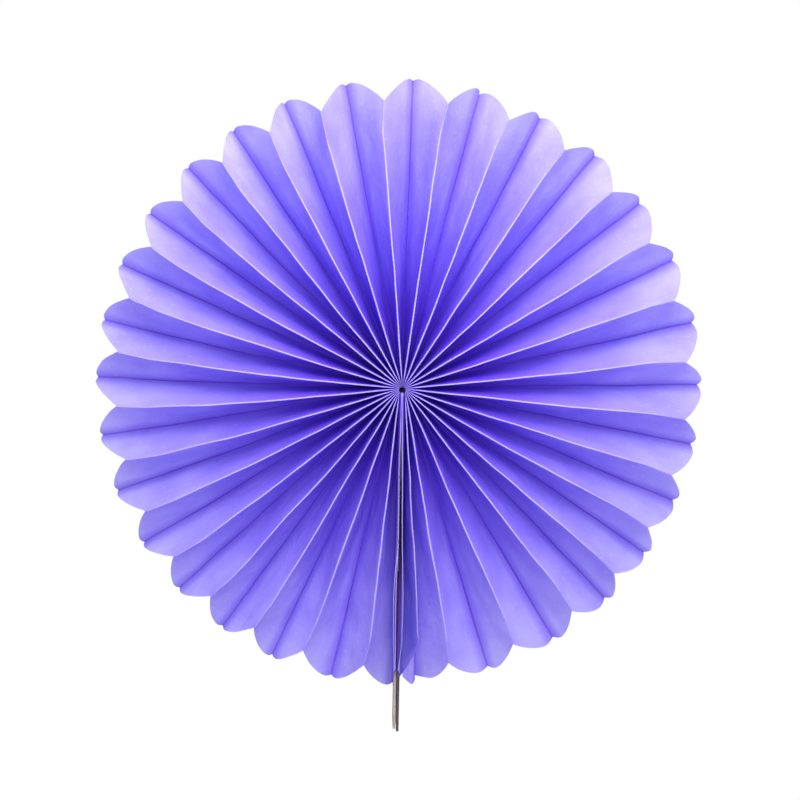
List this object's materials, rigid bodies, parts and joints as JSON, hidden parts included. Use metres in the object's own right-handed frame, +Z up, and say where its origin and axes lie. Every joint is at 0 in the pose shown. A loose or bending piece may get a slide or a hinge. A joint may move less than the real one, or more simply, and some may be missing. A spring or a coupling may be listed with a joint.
{
  "type": "paper fan rosette",
  "caption": "Round tissue paper decoration: one pleated fan with scalloped leaf ends, opened full circle and closed at two stiff end strips that form a short tail.",
  "frame": {"origin": "on the rosette's axis, in the plane of the back folds, where the hub meets the wall that it hangs on", "axes": "+Y out of the back into the wall, so the face looks along -Y, +Z up, away from the seam and its tail, +X to the right as seen from the front"},
  "size_m": [0.3018, 0.024, 0.3242],
  "materials": {
    "tissue_paper": "matt, thin and translucent",
    "greyboard": "raw",
    "tape": "matt",
    "thread": "matt"
  },
  "bodies": {
    "root": {"pleated_paper": "tissue_paper", "end_board_left": "greyboard", "end_board_right": "greyboard", "seam_tape": "tape", "gather_thread": "thread"}
  },
  "joints": []
}
